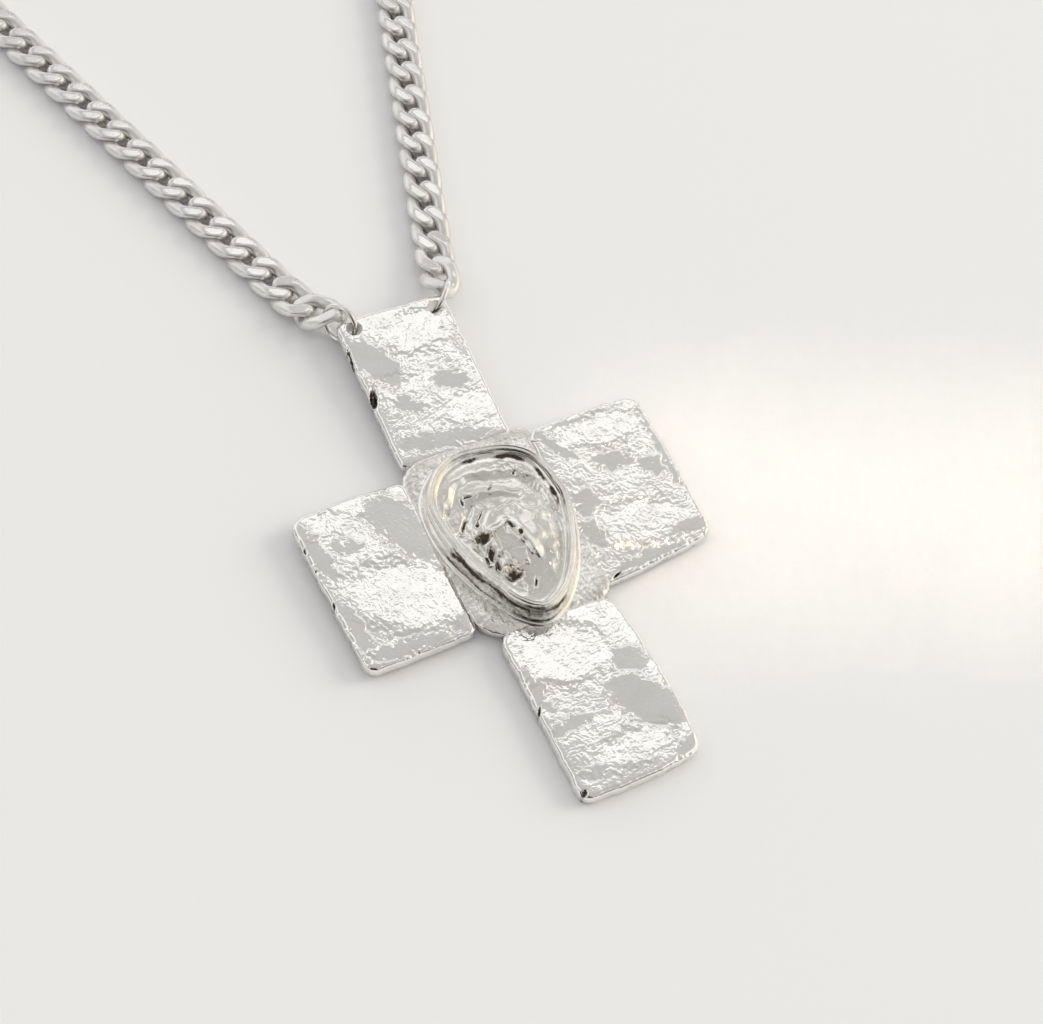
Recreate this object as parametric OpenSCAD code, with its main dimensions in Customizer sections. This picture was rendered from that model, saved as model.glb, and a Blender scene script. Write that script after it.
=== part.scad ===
// Silver cross necklace, lying on a flat surface. The chain is a whole loop, the cross is at its front.
// X runs across the cross, +Y from the foot of the cross to the clasp, +Z up from the surface.

/* [Cross] */
// Thickness of the four hammered tiles
tile_t = 1.5; // [1.2:0.1:1.6]
// Height of the worn edge round the top of each tile
edge_h = 0.42; // [0.3:0.02:0.6]
// Width of the worn edge round the top of each tile
edge_w = 0.45; // [0.3:0.05:0.6]
// Thickness of the plate that the tiles are soldered round
plate_t = 1.15; // [0.9:0.05:1.3]
// How far the plate's back sits above the back of the tiles
plate_lift = 0.12; // [0.05:0.01:0.3]
// Diameter of the two holes for the jump rings
hole_d = 1.6; // [1.55:0.05:1.7]

/* [Setting] */
// Half the width of the egg-shaped rim at its middle
egg_w = 6.2; // [5.8:0.1:6.6]
// Half the length of the egg-shaped rim
egg_l = 9; // [8.6:0.1:9.3]
// How much wider the rim is at its top than at its foot
egg_taper = 0.23; // [0.15:0.01:0.3]
// Height of the floor inside the rim above the back of the tiles
floor_z = 2.6; // [2.3:0.1:2.9]

/* [Jump rings] */
// Wire of the jump rings
ring_wire = 0.55; // [0.45:0.05:0.6]
// Radius of the jump rings to the middle of the wire
ring_r = 1.85; // [1.84:0.01:1.88]
// How far each jump ring leans from upright
ring_lean = 20; // [16:1:22]

/* [Chain] */
// Links on each side of the loop
links = 66; // [50:1:66]
// Distance from link to link
pitch = 3.3; // [3.25:0.01:3.35]
// Width of the chain
link_w = 4; // [3.9:0.05:4.1]
// Length of a link from wire middle to wire middle
link_l = 4.86; // [4.8:0.02:4.9]
// How square the oval of a link is, 2 for an ellipse
link_square = 2.5; // [2.3:0.1:2.6]
// Wire that the links are bent from
wire_d = 1.15; // [1.05:0.05:1.15]
// Twist of each end of a link out of the link's own plane
twist = 60; // [56:1:62]
// Thickness of the chain over its filed flats
chain_t = 1.6; // [1.5:0.05:1.65]
// Angle between each strand and the long axis of the cross
strand_angle = 17.7; // [15:0.1:20]

/* [Clasp] */
// Diameter of the barrel clasp
barrel_d = 3; // [2.9:0.1:3.2]
// Length of the barrel
barrel_l = 9; // [8:0.5:12]
// Wire of the loops at the barrel's ends
loop_wire = 0.65; // [0.6:0.05:0.7]
// Radius of the barrel's loops to the middle of the wire
loop_r = 1.3; // [1.25:0.05:1.3]

/* [Hidden] */

LEFT = 0;
RIGHT = 1;
silver = "silver";

// Outlines run anticlockwise from the lower left corner.
// Columns: x, y, rounding of the corner, bulge of the side that follows.
top_tile = [[-6.35, 10.75, 1.1, 0], [5.05, 10.3, 0.9, 0], [5.7, 27.4, 1, 0.1], [-5.85, 28.1, 1.3, -0.1]];
left_tile = [[-17.85, -7.55, 1.3, 0.1], [-7, -7.5, 0.9, 0], [-6.75, 9.35, 0.8, 0.4], [-18.4, 9.55, 1.6, 0]];
right_tile = [[5.45, -7.85, 1.2, 0.1], [17.9, -6.8, 1.4, 0.1], [17.95, 9.6, 1.5, 0.3], [6.25, 9.75, 1.25, 0]];
foot_tile = [[-5.8, -26, 1.3, 0.4], [6.5, -25.75, 1.4, 0.5], [5.9, -8.6, 1.5, 0.1], [-5.6, -8.4, 1.7, 0]];
plate = [[-7.2, -9, 4.6, 0], [6.6, -8.9, 2.2, 0], [6.7, 11, 1.8, 0], [-7.1, 11.1, 3.4, 0]];
// Middles of the two holes, and the way each jump ring points from its hole.
holes = [[-4.19, 26.75], [4.2, 26.05]];
ring_turn = [117, 50];

// Bands up a tile's side. Columns: distance in from the outline, height.
tile_bands = [[0, 0], [0, tile_t - edge_h], [0.3 * edge_w, tile_t - 0.25 * edge_h], [edge_w, tile_t]];

// Middle of the egg, and its section from the wall's foot over the rim to the floor.
// Columns: distance out from the rim's outer line, height above the back of the tiles.
egg_x = -0.05;
egg_y = 0.45;
wall_foot = 0.9;
egg_bands = [
    [wall_foot, 0.5], [wall_foot, 1.25], [0.15, floor_z + 0.1], [0, floor_z + 0.8], [-0.12, floor_z + 1.2],
    [-0.38, floor_z + 1.33], [-0.65, floor_z + 1.15], [-0.82, floor_z + 0.5], [-1.3, floor_z + 0.15],
    [-1.75, floor_z + 0.35], [-2.2, floor_z + 0.05]
];
// The molten boss inside the rim. Columns: x, y, height, spread along x, spread along y.
lumps = [[1.2, -1, 1.5, 2.5, 3.2], [-1.5, -1.1, 0.7, 1.2, 1.9], [-1.9, 3.6, 0.5, 1.1, 0.8], [0.9, 4.3, 0.35, 1.4, 0.8]];
boss_x = 0.9;
boss_y = -0.6;
boss_steps = [0.78, 0.56, 0.36, 0.14];
egg_sides = 36;

// A ring curves away above and below its hole, so it sits this far back.
ring_shift = 0.08;

// The foot of the cross touches the surface, and the jump rings hold its top up.
foot_y = -26.3;
ring_z = ring_r * cos(ring_lean) + ring_wire / 2;
hole_y = (holes[LEFT].y + holes[RIGHT].y) / 2;
tilt = atan((ring_z - tile_t / 2) / (hole_y - foot_y));

// A link's wire: half its length, half its width, and the wire's radius.
link_a = link_l / 2;
wire_r = wire_d / 2;
link_b = link_w / 2 - wire_r;
link_sides = 10;
wire_sides = 5;
gap = 0.16;

// The near end of each first link hangs in its ring, this far round the ring from the level.
hang = [66, 46];
end_reach = ring_r - ring_wire / 2 - wire_r - gap;
// First two links of each strand. Columns: heading, rise of the near end, roll about the link's length.
first_pose = [[-41.5, 22.5, -1.5], [16.5, 20.5, -8.5]];
second_pose = [[-19.7, 7, -3], [16.5, 6.5, 0]];
second_lift = [0.33, 0.28];
// The second link is where the straight run begins.
run_start = [[-7.85, 33.2], [7.39, 32.91]];
// The last link rises to the clasp's loop.
last_rise = 4;
last_lift = 0.18;

// The clasp's loops lean with the end links.
loop_lean = 32;
loop_x = barrel_l / 2 + loop_r - 0.3;
end_x = loop_x + link_a * cos(last_rise);

// Each strand runs straight, then round one arc to the clasp.
arc_angle = 90 + strand_angle;
arc_factor = arc_angle * PI / 180;
run_length = (links - 2) * pitch;
function start_x(side) = abs(run_start[side].x);
function straight(side) =
    (run_length - arc_factor * (start_x(side) - end_x) / cos(strand_angle))
    / (1 + arc_factor * tan(strand_angle));
function arc_r(side) = (start_x(side) - end_x + straight(side) * sin(strand_angle)) / cos(strand_angle);
function far_y(side) =
    run_start[side].y + straight(side) * cos(strand_angle) + arc_r(side) * (1 + sin(strand_angle));
function wide_x(side) =
    start_x(side) + straight(side) * sin(strand_angle) + arc_r(side) * (1 - cos(strand_angle)) + link_w / 2;
clasp_y = (far_y(LEFT) + far_y(RIGHT)) / 2;
clasp_turn = atan((far_y(RIGHT) - far_y(LEFT)) / (2 * end_x));

// The whole necklace is moved so that the middle of its box is over the origin.
chain_end_y = clasp_y + link_w / 2;
middle_y = (foot_y + chain_end_y) / 2;
middle_x = (wide_x(RIGHT) - wide_x(LEFT)) / 2;

// Outline of a tile or plate, its corners moved in by the given distance.
function unit(v) = v / norm(v);
function flat(row) = [row[0], row[1]];
function along(c, i) = unit(flat(c[(i + 1) % 4]) - flat(c[i % 4]));
function moved(c, d) = [
    for (i = [0:3])
        let (p = flat(c[i]) + d * (along(c, i) - along(c, i + 3)))
        [p.x, p.y, max(c[i][2] - 0.6 * d, 0.3), c[i][3]]
];
function side_point(c, i, t) =
    let (a = flat(c[i % 4]), b = flat(c[(i + 1) % 4]), u = along(c, i), bulge = 4 * t * (1 - t) * c[i % 4][3])
    a + (b - a) * t + bulge * [u.y, -u.x];
function side_l(c, i) = norm(flat(c[(i + 1) % 4]) - flat(c[i % 4]));
function corner_point(c, i, t) =
    let (
        r = c[i][2],
        before = side_point(c, i + 3, 1 - r / side_l(c, i + 3)),
        after = side_point(c, i, r / side_l(c, i))
    )
    (1 - t) * (1 - t) * before + 2 * t * (1 - t) * flat(c[i]) + t * t * after;
function outline(c) = [
    for (i = [0:3])
        each [
            for (t = [0, 1/3, 2/3, 1]) corner_point(c, i, t),
            for (t = [1/3, 2/3]) side_point(c, i, t)
        ]
];

// A closed skin through rings of points that run anticlockwise, from the lowest ring inward and up.
module skin(rings) {
    n = len(rings[0]);
    k = len(rings);
    polyhedron(
        points = [for (ring = rings) each ring],
        faces = [
            [for (i = [0:n - 1]) i],
            for (j = [0:k - 2], i = [0:n - 1])
                let (a = j * n + i, b = j * n + (i + 1) % n)
                each [[a, a + n, b + n], [a, b + n, b]],
            [for (i = [0:n - 1]) k * n - 1 - i]
        ]
    );
}

module tile(c) {
    skin([
        for (band = tile_bands)
            [for (p = outline(moved(c, band[0]))) [p.x, p.y, band[1]]]
    ]);
}

// The egg outline, and the height of the molten metal inside it.
function egg(angle, out) = [
    egg_x + (egg_w + out) * cos(angle) * (1 + egg_taper * sin(angle)),
    egg_y + (egg_l + out) * sin(angle)
];
function lump_height(x, y, row) =
    row[2] * exp(-pow((x - row[0]) / row[3], 2) - pow((y - row[1]) / row[4], 2));
function boss_height(x, y) = floor_z + lump_sum(x, y, 0);
function lump_sum(x, y, i) = i == len(lumps) ? 0 : lump_height(x, y, lumps[i]) + lump_sum(x, y, i + 1);
function boss_point(angle, step) =
    let (edge = egg(angle, egg_bands[len(egg_bands) - 1][0]))
    [boss_x + (edge.x - boss_x) * step, boss_y + (edge.y - boss_y) * step];

module setting() {
    angles = [for (i = [0:egg_sides - 1]) i * 360 / egg_sides];
    last = len(boss_steps) - 1;
    skin([
        for (band = egg_bands)
            [for (a = angles) let (p = egg(a, band[0])) [p.x, p.y, band[1]]],
        for (s = [0:last])
            [
                for (a = angles)
                    let (p = boss_point(a, boss_steps[s]), top = s == last ? [boss_x, boss_y] : p)
                    [p.x, p.y, boss_height(top.x, top.y)]
            ]
    ]);
}

// Four tiles soldered round a plate that carries the setting.
module cross() {
    color(silver)
    on_surface()
    rest_on_foot()
    difference() {
        union() {
            tile(top_tile);
            tile(left_tile);
            tile(right_tile);
            tile(foot_tile);
            translate([0, 0, plate_lift])
                linear_extrude(height = plate_t)
                    polygon(outline(plate));
            setting();
        }
        for (p = holes)
            translate([p.x, p.y, -1])
                cylinder(h = tile_t + 2, d = hole_d, $fn = 48);
    }
}

module on_surface() {
    translate([-middle_x, -middle_y, 0]) children();
}

module rest_on_foot() {
    translate([0, foot_y, 0])
        rotate([tilt, 0, 0])
            translate([0, -foot_y, 0])
                children();
}

// A round wire ring in the XY plane.
module wire_ring(r, wire) {
    rotate_extrude($fn = 64)
        translate([r, 0])
            circle(d = wire, $fn = 32);
}

// A jump ring stands on the surface, goes down through its hole, and leans to the side.
function ring_way(side) = [cos(ring_turn[side]), sin(ring_turn[side])];
function ring_middle(side) = holes[side] + (ring_r - ring_shift) * ring_way(side);
module jump_ring(side) {
    color(silver)
    on_surface()
    translate([ring_middle(side).x, ring_middle(side).y, ring_z])
        rotate([0, 0, ring_turn[side]])
            rotate([90 + ring_lean, 0, 0])
                wire_ring(ring_r, ring_wire);
}

module ring_left() {
    jump_ring(LEFT);
}

module ring_right() {
    jump_ring(RIGHT);
}

// One curb link: an oval of wire whose two ends are twisted opposite ways, filed flat above and below.
// The wire's sections are square to the oval, and the twist then turns them about the link's length.
function rounded(v, power) = sign(v) * pow(abs(v), power);
function twisted(p) = let (turn = -twist * p.x / link_a)
    [p.x, p.y * cos(turn) - p.z * sin(turn), p.y * sin(turn) + p.z * cos(turn)];
function filed(p) = [p.x, p.y, max(-chain_t / 2, min(chain_t / 2, p.z))];
function wire_point(around, across) =
    let (
        c = rounded(cos(around), 2 / link_square),
        s = rounded(sin(around), 2 / link_square),
        out = unit([rounded(c, link_square - 1) / link_a, rounded(s, link_square - 1) / link_b])
    )
    [
        link_a * c + wire_r * cos(across) * out.x,
        link_b * s + wire_r * cos(across) * out.y,
        wire_r * sin(across)
    ];

module link() {
    n = link_sides;
    m = wire_sides;
    polyhedron(
        points = [
            for (i = [0:n - 1], j = [0:m - 1])
                filed(twisted(wire_point(i * 360 / n, j * 360 / m)))
        ],
        faces = [
            for (i = [0:n - 1], j = [0:m - 1])
                let (
                    a = i * m + j,
                    b = i * m + (j + 1) % m,
                    c = ((i + 1) % n) * m + (j + 1) % m,
                    d = ((i + 1) % n) * m + j
                )
                each [[a, b, c], [a, c, d]]
        ]
    );
}

// Where each link lies. Values: middle of the link, heading from +Y, rise of its near end, roll.
function heading_way(h) = [sin(h), cos(h)];
function outward(side) = side == LEFT ? -1 : 1;
function hang_point(side) =
    let (way = ring_way(side), left = [-way.y, way.x])
    ring_middle(side) + end_reach * (cos(hang[side]) * way - sin(hang[side]) * sin(ring_lean) * left);
function hang_z(side) = ring_z + end_reach * sin(hang[side]) * cos(ring_lean);
function first_link(side) =
    let (
        pose = first_pose[side],
        p = hang_point(side) + link_a * cos(pose[1]) * heading_way(pose[0])
    )
    [[p.x, p.y, hang_z(side) - link_a * sin(pose[1])], pose[0], pose[1], pose[2]];
function run_point(side, s) =
    let (
        l = straight(side),
        r = arc_r(side),
        turned = max(0, s - l) / r * 180 / PI,
        h = strand_angle - turned,
        x = start_x(side) + min(s, l) * sin(strand_angle) + r * (cos(h) - cos(strand_angle)),
        y = run_start[side].y + min(s, l) * cos(strand_angle) + r * (sin(strand_angle) - sin(h))
    )
    [outward(side) * x, y, outward(side) * h];
function second_link(side) =
    let (pose = second_pose[side], p = run_start[side])
    [[p.x, p.y, chain_t / 2 + second_lift[side]], pose[0], pose[1], pose[2]];
function run_link(side, i) =
    let (p = run_point(side, (i - 1) * pitch), is_last = i == links - 1)
    [[p.x, p.y, chain_t / 2 + (is_last ? last_lift : 0)], p.z, is_last ? -last_rise : 0, 0];
function link_spot(side, i) = i == 0 ? first_link(side) : i == 1 ? second_link(side) : run_link(side, i);

module chain(side) {
    color(silver)
    on_surface()
    for (i = [0:links - 1]) {
        spot = link_spot(side, i);
        translate(spot[0])
            rotate([0, 0, 90 - spot[1]])
                rotate([spot[3], spot[2], 0])
                    link();
    }
}

module chain_left() {
    chain(LEFT);
}

module chain_right() {
    chain(RIGHT);
}

// A plain barrel with a wire loop at each end.
module clasp() {
    color(silver)
    on_surface()
    translate([0, clasp_y, barrel_d / 2])
    rotate([0, 0, clasp_turn]) {
        rotate([0, 90, 0])
            cylinder(h = barrel_l, d = barrel_d, center = true, $fn = 48);
        for (x = [-loop_x, loop_x])
            translate([x, 0, 0])
                rotate([90 + sign(x) * loop_lean, 0, 0])
                    wire_ring(loop_r, loop_wire);
    }
}

cross();
ring_left();
ring_right();
chain_left();
chain_right();
clasp();
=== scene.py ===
import math

import bpy
import numpy as np
from mathutils import Matrix, Vector


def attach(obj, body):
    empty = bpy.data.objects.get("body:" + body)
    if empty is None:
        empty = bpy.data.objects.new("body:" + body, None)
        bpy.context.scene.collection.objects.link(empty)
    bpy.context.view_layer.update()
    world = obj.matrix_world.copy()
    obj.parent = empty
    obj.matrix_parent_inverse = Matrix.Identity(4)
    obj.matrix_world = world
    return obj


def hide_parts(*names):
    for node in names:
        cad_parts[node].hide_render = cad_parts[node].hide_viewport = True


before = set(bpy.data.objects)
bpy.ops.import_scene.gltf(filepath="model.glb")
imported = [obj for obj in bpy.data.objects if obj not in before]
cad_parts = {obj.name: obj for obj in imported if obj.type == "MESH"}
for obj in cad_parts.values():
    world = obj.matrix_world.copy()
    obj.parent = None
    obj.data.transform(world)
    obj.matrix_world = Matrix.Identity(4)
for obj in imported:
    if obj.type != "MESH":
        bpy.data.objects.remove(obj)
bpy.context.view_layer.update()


# The four tiles
# Each arm of the cross is a tile cut by hand from silver sheet. The sheet was heated until its skin drew up
# into fine wrinkles, then hammered and polished, so its high places shine and its calm pools stay grey.
# Lengths are in millimetres, measured on the cross as it lies flat on the bench.
TILE_THICK = 1.5
# The top falls away towards its edge in a quarter round of this depth and width.
TILE_EDGE_DROP = 0.42
TILE_EDGE_WIDTH = 0.5
# The foot's lower edge touches the table, and the jump rings hold the other end up by the tilt.
FOOT_Y = -26.3
TILT = math.radians(1.37335)
# The middle of the whole necklace on the bench, which comes to lie over the frame's zero.
MIDDLE = (-0.150903, 94.7749)

# Corners anticlockwise from the lower left: x, y, rounding of the corner, bulge of the side that follows.
TILE_CORNERS = {
    "top_tile": [
        (-6.35, 10.75, 1.1, 0), (5.05, 10.3, 0.9, 0), (5.7, 27.4, 1.0, 0.1), (-5.85, 28.1, 1.3, -0.1),
    ],
    "left_tile": [
        (-17.85, -7.55, 1.3, 0.1), (-7, -7.5, 0.9, 0), (-6.75, 9.35, 0.8, 0.4), (-18.4, 9.55, 1.6, 0),
    ],
    "right_tile": [
        (5.45, -7.85, 1.2, 0.1), (17.9, -6.8, 1.4, 0.1), (17.95, 9.6, 1.5, 0.3), (6.25, 9.75, 1.25, 0),
    ],
    "foot_tile": [
        (-5.8, -26, 1.3, 0.4), (6.5, -25.75, 1.4, 0.5), (5.9, -8.6, 1.5, 0.1), (-5.6, -8.4, 1.7, 0),
    ],
}
# Seed, the way the wrinkles run in degrees from +X, and how much the tile rises towards the window.
TILE_GRAIN = {
    "top_tile": (11, 28, 0.035),
    "left_tile": (23, -59, -0.012),
    "right_tile": (37, -42, 0.03),
    "foot_tile": (41, -3, -0.027),
}
# Calm pools between the wrinkles: x, y, half length, half width, turn of the length from +X, depth of calm.
# Where the last number is below zero the skin keeps its wrinkles and falls towards the window instead.
TILE_POOLS = {
    "top_tile": [
        (-3.9, 22.4, 3.3, 1.5, -66, 1), (2.0, 18.0, 1.7, 1.0, -20, 1), (-2.7, 16.8, 1.4, 0.8, -30, 1),
        (-1.5, 12.3, 4.2, 0.9, -12, 0.7), (4.6, 22.5, 3.2, 0.5, -86, 0.8), (1.6, 24.3, 3.4, 2.0, 0, -0.36),
        (-3.2, 19.3, 2.0, 1.2, -10, -0.36), (2.5, 14.5, 2.4, 1.6, 0, -0.25),
    ],
    "left_tile": [
        (-8.9, 4.9, 4.3, 2.1, -66, 1), (-17.4, 5.7, 3.3, 0.9, -82, 1), (-14.5, 4.8, 1.5, 0.7, -35, 1),
        (-17.1, -3.2, 2.6, 0.8, -86, 1), (-13.9, -6.5, 3.6, 0.7, -4, 1), (-8.0, -6.2, 1.1, 0.8, 20, 1),
        (-11.4, -1.8, 5.0, 3.2, -25, -0.45), (-15.6, 7.9, 2.2, 1.0, 5, -0.36),
    ],
    "right_tile": [
        (7.9, 7.5, 2.4, 0.6, -58, 1), (12.5, 3.7, 1.8, 1.0, -20, 1), (16.0, 1.7, 1.3, 0.9, -30, 1),
        (8.3, 0.8, 1.4, 1.1, 60, 1), (7.2, -2.6, 1.7, 0.9, -80, 1), (11.2, -6.7, 3.2, 0.55, 2, 1),
        (16.1, -5.6, 1.7, 0.8, 5, 1), (12.2, 9.2, 4.4, 0.4, 1, 1), (17.4, 3.0, 5.0, 0.35, -89, 1),
        (11.8, -3.2, 4.0, 2.2, -10, -0.4), (13.0, 7.2, 3.6, 1.5, -5, -0.36),
    ],
    "foot_tile": [
        (3.9, -19.7, 3.7, 2.0, -52, 1), (4.6, -15.4, 1.8, 1.2, -30, 1), (-5.0, -15.0, 2.3, 0.7, -85, 1),
        (-3.5, -19.1, 1.9, 0.6, 8, 1), (-3.6, -24.0, 1.3, 0.5, 4, 1), (5.2, -25.0, 1.3, 0.6, 25, 1),
        (-1.6, -12.2, 4.2, 2.8, -20, -0.42), (0.6, -23.3, 3.8, 1.5, 4, -0.36),
    ],
}
# Flaws in the skin that stay dark: x, y, half length, half width, turn of the length from +X, depth.
TILE_FLAWS = {
    "top_tile": [
        (-5.82, 23.6, 1.15, 0.07, 83, 0.4), (-5.72, 24.6, 0.22, 0.16, 83, 0.4),
        (-5.62, 18.9, 1.05, 0.3, 72, 0.7),
    ],
    "left_tile": [(-18.15, 6.1, 0.3, 0.08, 80, 0.3), (-17.95, -0.15, 0.35, 0.09, 75, 0.3)],
    "right_tile": [(7.4, -7.2, 0.5, 0.1, 20, 0.35), (6.0, 8.9, 0.8, 0.08, -35, 0.3)],
    "foot_tile": [(-5.45, -16.8, 0.5, 0.1, 62, 0.35), (-5.35, -25.4, 0.3, 0.25, 45, 0.3)],
}
HOLES = [(-4.19, 26.75), (4.2, 26.05)]
HOLE_R = 0.8
# Way towards the window. A pool rises this way by its own small slope, so it doesn't catch the light.
LIGHT_WAY = (0.567, 0.823)
POOL_SLOPE = 0.1
# The hills are made on a square of this many cells and repeat beyond it, stretched to stand about 1 high.
HILL_CELLS = 128
HILL_STRETCH = 1.5


def hills(x, y, seed):
    """Smooth random hills and hollows between about -1 and 1, one or two to a unit of length."""
    turn = np.random.default_rng(seed).uniform(0, 2 * np.pi, (HILL_CELLS, HILL_CELLS))
    col, row = np.floor(x).astype(int), np.floor(y).astype(int)
    fx, fy = x - col, y - row

    def corner(i, j):
        a = turn[(col + i) % HILL_CELLS, (row + j) % HILL_CELLS]
        return np.cos(a) * (fx - i) + np.sin(a) * (fy - j)

    ease_x = fx**3 * (fx * (6 * fx - 15) + 10)
    ease_y = fy**3 * (fy * (6 * fy - 15) + 10)
    near = corner(0, 0) + ease_x * (corner(1, 0) - corner(0, 0))
    far = corner(0, 1) + ease_x * (corner(1, 1) - corner(0, 1))
    return HILL_STRETCH * (near + ease_y * (far - near))


def swells(x, y, *layers):
    """Hills laid over each other, each layer given by its height, its size and its seed."""
    return sum(high * hills(x / size, y / size, seed) for high, size, seed in layers)


def ramp(value, start, stop):
    """0 up to the start, then rising evenly to 1 at the stop and past it."""
    return np.clip((value - start) / (stop - start), 0, 1)


def swung(a, b, turn):
    """Two lengths at right angles, after a turn of the first towards the second."""
    return a * np.cos(turn) - b * np.sin(turn), a * np.sin(turn) + b * np.cos(turn)


def pulled(x, y, *waves):
    """Places pulled about by soft waves, each given by its reach, its size and two seeds."""
    moves = [swells(x, y, *((reach, size, seeds[k]) for reach, size, *seeds in waves)) for k in (0, 1)]
    return x + moves[0], y + moves[1]


# Folds of the skin, from the broadest to the finest: height, length along the grain, width across it.
FOLDS = [(0.022, 1.5, 0.9), (0.016, 0.75, 0.42), (0.015, 0.33, 0.2), (0.008, 0.18, 0.13)]
# How far a fold leans for its height, and how much of the two broad and the two fine folds a pool takes away.
FOLD_LEAN = 4
CALM_BROAD, CALM_FINE = 0.92, 0.7
DENT_DEPTH, DENT_SIZE = 0.05, 4.5
# How far the grain sways along and across and over what length, and how far the folds themselves waver.
GRAIN_ALONG, GRAIN_ACROSS = (0.5, 1.7), (0.45, 1.5)
FOLD_WAVER, FOLD_TREMBLE = (0.15, 0.9), (0.06, 0.35)


def wrinkled(x, y, seed, grain, calm):
    """Height of the drawn-up skin: broad dents, and wrinkles along the grain where it isn't calm."""

    def folds(x, y):
        along, across = swung(x, y, -math.radians(grain))
        along = along + swells(x, y, (*GRAIN_ALONG, seed + 1))
        across = across + swells(x, y, (*GRAIN_ACROSS, seed + 2))
        each = []
        for k, (high, long, wide) in enumerate(FOLDS):
            each.append(high * hills(along / long, across / wide, seed + 4 + k))
        return each[0] + each[1], each[2] + each[3]

    # The folds waver, and each leans a little away from the window, so its long face catches the light.
    wavered = pulled(x, y, (*FOLD_WAVER, seed + 13, seed + 14), (*FOLD_TREMBLE, seed + 15, seed + 16))
    lean = -FOLD_LEAN * sum(folds(*wavered))
    coarse, fine = folds(wavered[0] + lean * LIGHT_WAY[0], wavered[1] + lean * LIGHT_WAY[1])
    dents = swells(x, y, (DENT_DEPTH, DENT_SIZE, seed + 3))
    return dents + coarse * (1 - CALM_BROAD * calm) + fine * (1 - CALM_FINE * calm)


CORNER_POINTS, SIDE_POINTS = 9, 30
# The saw and the file left the edge a little uneven.
SAWN = [(0.09, 1.5, 91, 92), (0.04, 0.5, 93, 94)]


def side_lines(corners, steps):
    """The outline as four lines of points, each from the middle of a rounded corner to that of the next."""
    p = np.array([c[:2] for c in corners], float)
    lines = []

    def along(i, t):
        a, b, bulge = p[i % 4], p[(i + 1) % 4], corners[i % 4][3]
        way = (b - a) / np.linalg.norm(b - a)
        return a + (b - a) * t + 4 * t * (1 - t) * bulge * np.array([way[1], -way[0]])

    def round_corner(i, t):
        r = corners[i % 4][2]
        before = along(i + 3, 1 - r / np.linalg.norm(p[i % 4] - p[(i + 3) % 4]))
        after = along(i, r / np.linalg.norm(p[(i + 1) % 4] - p[i % 4]))
        return (1 - t) ** 2 * before + 2 * t * (1 - t) * p[i % 4] + t * t * after

    for i in range(4):
        length = np.linalg.norm(p[(i + 1) % 4] - p[i])
        start, stop = corners[i][2] / length, 1 - corners[(i + 1) % 4][2] / length
        dense = [round_corner(i, t) for t in np.linspace(0.5, 1, CORNER_POINTS)]
        dense += [along(i, t) for t in np.linspace(start, stop, SIDE_POINTS)[1:-1]]
        dense += [round_corner(i + 1, t) for t in np.linspace(0, 0.5, CORNER_POINTS)]
        dense = np.array(dense)
        walked = np.concatenate([[0], np.cumsum(np.linalg.norm(np.diff(dense, axis=0), axis=1))])
        at = np.linspace(0, walked[-1], steps[i] + 1)
        x, y = (np.interp(at, walked, dense[:, k]) for k in (0, 1))
        lines.append(np.stack(pulled(x, y, *SAWN), axis=1))
    return lines


def fill_outline(corners, nx, ny):
    """A grid of points that fills the outline, rings of it following the outline's own shape."""
    lines = side_lines(corners, (nx, ny, nx, ny))
    middle = np.mean([line.mean(axis=0) for line in lines], axis=0)
    u, v = np.meshgrid(np.linspace(-1, 1, nx + 1), np.linspace(-1, 1, ny + 1), indexing="ij")
    ring = np.maximum(np.maximum(np.abs(u), np.abs(v)), 1e-9)
    share = [(u / ring + 1) / 2, (v / ring + 1) / 2, (1 - u / ring) / 2, (1 - v / ring) / 2]
    on_side = [-v >= ring - 1e-9, u >= ring - 1e-9, v >= ring - 1e-9, -u >= ring - 1e-9]
    points = np.zeros((nx + 1, ny + 1, 2))
    for line, t, mask in zip(lines, share, on_side):
        places = np.linspace(0, 1, len(line))
        for k in (0, 1):
            points[..., k][mask] = np.interp(t, places, line[:, k])[mask]
    return middle + (points - middle) * ring[..., None], np.concatenate([line[:-1] for line in lines])


def depth_inside(points, outline):
    """How far each point lies inside a closed outline, and below zero outside it."""
    best = np.full(points.shape[:-1], 1e9)
    inside = np.zeros(points.shape[:-1], bool)
    for a, b in zip(outline, np.roll(outline, -1, axis=0)):
        way = b - a
        t = np.clip(((points - a) @ way) / max(way @ way, 1e-12), 0, 1)
        best = np.minimum(best, np.linalg.norm(points - a - t[..., None] * way, axis=-1))
        crosses = (a[1] > points[..., 1]) != (b[1] > points[..., 1])
        rise = way[1] if abs(way[1]) > 1e-12 else 1e-12
        inside ^= crosses & (points[..., 0] < a[0] + way[0] * (points[..., 1] - a[1]) / rise)
    return np.where(inside, best, -best)


def numbered(rows, columns, first=0):
    """A grid of point numbers."""
    return first + np.arange(rows * columns).reshape(rows, columns)


def grid_edge(numbers):
    """The numbers round a grid's edge, anticlockwise from the lower left."""
    sides = [numbers[:-1, 0], numbers[-1, :-1], numbers[:0:-1, -1], numbers[0, :0:-1]]
    return np.concatenate(sides).tolist()


def grid_faces(numbers, flipped=False):
    """Faces between the neighbours in a grid of point numbers."""
    corners = [numbers[:-1, :-1], numbers[1:, :-1], numbers[1:, 1:], numbers[:-1, 1:]]
    if flipped:
        corners = corners[:1] + corners[:0:-1]
    return np.stack(corners, axis=-1).reshape(-1, 4).tolist()


def lay_flat(points):
    """From the bench, in millimetres, to the cross as it lies tilted in the frame, in metres."""
    p = np.asarray(points, float)
    y, z = swung(p[..., 1] - FOOT_Y, p[..., 2], TILT)
    return np.stack([p[..., 0] - MIDDLE[0], y + FOOT_Y - MIDDLE[1], z], axis=-1) / 1000


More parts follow.
